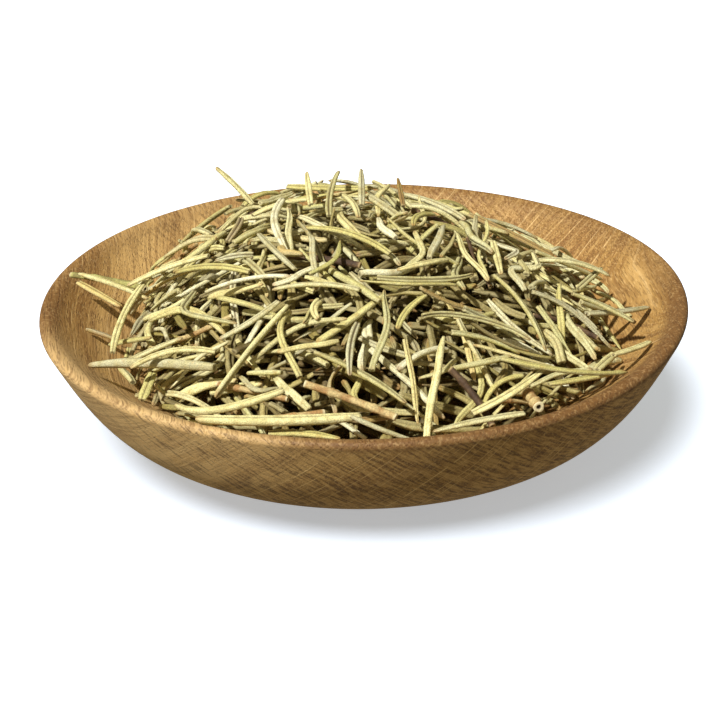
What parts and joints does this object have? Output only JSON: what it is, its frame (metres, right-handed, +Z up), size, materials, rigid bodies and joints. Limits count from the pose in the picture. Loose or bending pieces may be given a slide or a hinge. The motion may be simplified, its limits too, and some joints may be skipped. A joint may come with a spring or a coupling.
{
  "type": "wooden dish of dried rosemary leaves",
  "caption": "Shallow round turned wooden dish holding a loose heap of dried rosemary leaves and bits of stalk, for a kitchen, shop or table scene.",
  "frame": {"origin": "centre of the dish's foot, on the surface it stands on", "axes": "+Z up; the dish is round, so X and Y are the heap's own: the viewer stands on the -Y side, and +X is to the viewer's right"},
  "size_m": [0.14, 0.14, 0.0541],
  "materials": {
    "dish_wood": "oiled, open-grained, light brown turned wood, worn at the rim",
    "leaf_bed": "loose dried needle leaves, pale olive with dark gaps",
    "leaf_yellow": "dried leaf, pale yellow-green, matt and finely pebbled",
    "leaf_olive": "dried leaf, olive, matt, with a groove along the middle",
    "leaf_grey_green": "dried leaf, grey-green underside, matt and felted",
    "leaf_orange": "dried leaf, pale orange-brown, matt",
    "leaf_brown": "dried leaf, brown, matt and shrivelled",
    "stalk_dark": "dried stalk, dark brown bark, matt",
    "stalk_pale": "dried stalk, pale brown, matt, with a paler cut end"
  },
  "bodies": {
    "root": {"dish": "dish_wood", "leaf_bed": "leaf_bed", "leaf_front_rim": "leaf_olive", "leaf_front_long": "leaf_yellow", "leaf_front_middle": "leaf_grey_green", "leaf_front_right": "leaf_yellow", "stalk_left_sprig": "leaf_olive", "stalk_front_orange": "stalk_pale", "stalk_front_pink": "stalk_pale", "stalk_front_hollow": "stalk_pale", "stalk_right_dark": "stalk_dark", "leaf_left_sprig_lower": "leaf_orange", "leaf_left_sprig_upper": "leaf_yellow", "leaf_left_small": "leaf_brown", "leaf_left_cross": "leaf_olive", "leaf_left_rise": "leaf_yellow", "leaf_left_stub": "leaf_olive", "leaf_left_pale": "leaf_yellow", "leaf_left_long": "leaf_grey_green", "leaf_left_over": "leaf_yellow", "leaf_front_curl": "leaf_yellow", "leaf_front_bow": "leaf_olive", "leaf_right_front": "leaf_yellow", "leaf_right_pale": "leaf_olive", "leaf_right_low": "leaf_olive", "leaf_right_notch": "leaf_yellow", "leaf_right_fork": "leaf_yellow", "leaf_right_tip": "leaf_grey_green", "leaf_right_back": "leaf_olive", "leaf_right_rise": "leaf_olive", "leaf_01": "leaf_yellow", "leaf_02": "leaf_olive", "leaf_03": "leaf_grey_green", "leaf_04": "leaf_olive", "leaf_05": "leaf_yellow", "leaf_06": "leaf_olive", "leaf_07": "leaf_yellow", "leaf_08": "leaf_grey_green", "leaf_09": "leaf_brown", "leaf_10": "leaf_yellow", "leaf_11": "leaf_olive", "leaf_12": "leaf_grey_green", "leaf_13": "leaf_olive", "leaf_14": "leaf_yellow", "leaf_15": "leaf_olive", "leaf_16": "leaf_yellow", "leaf_17": "leaf_grey_green", "leaf_18": "leaf_brown", "leaf_19": "leaf_yellow", "leaf_20": "leaf_olive", "leaf_21": "leaf_grey_green", "leaf_22": "leaf_olive", "leaf_23": "leaf_yellow", "leaf_24": "leaf_olive", "leaf_25": "leaf_yellow", "leaf_top_spike": "leaf_yellow", "leaf_top_left": "leaf_yellow", "leaf_top_middle": "leaf_olive", "leaf_top_right": "leaf_grey_green", "leaf_top_brown": "leaf_brown"}
  },
  "joints": []
}
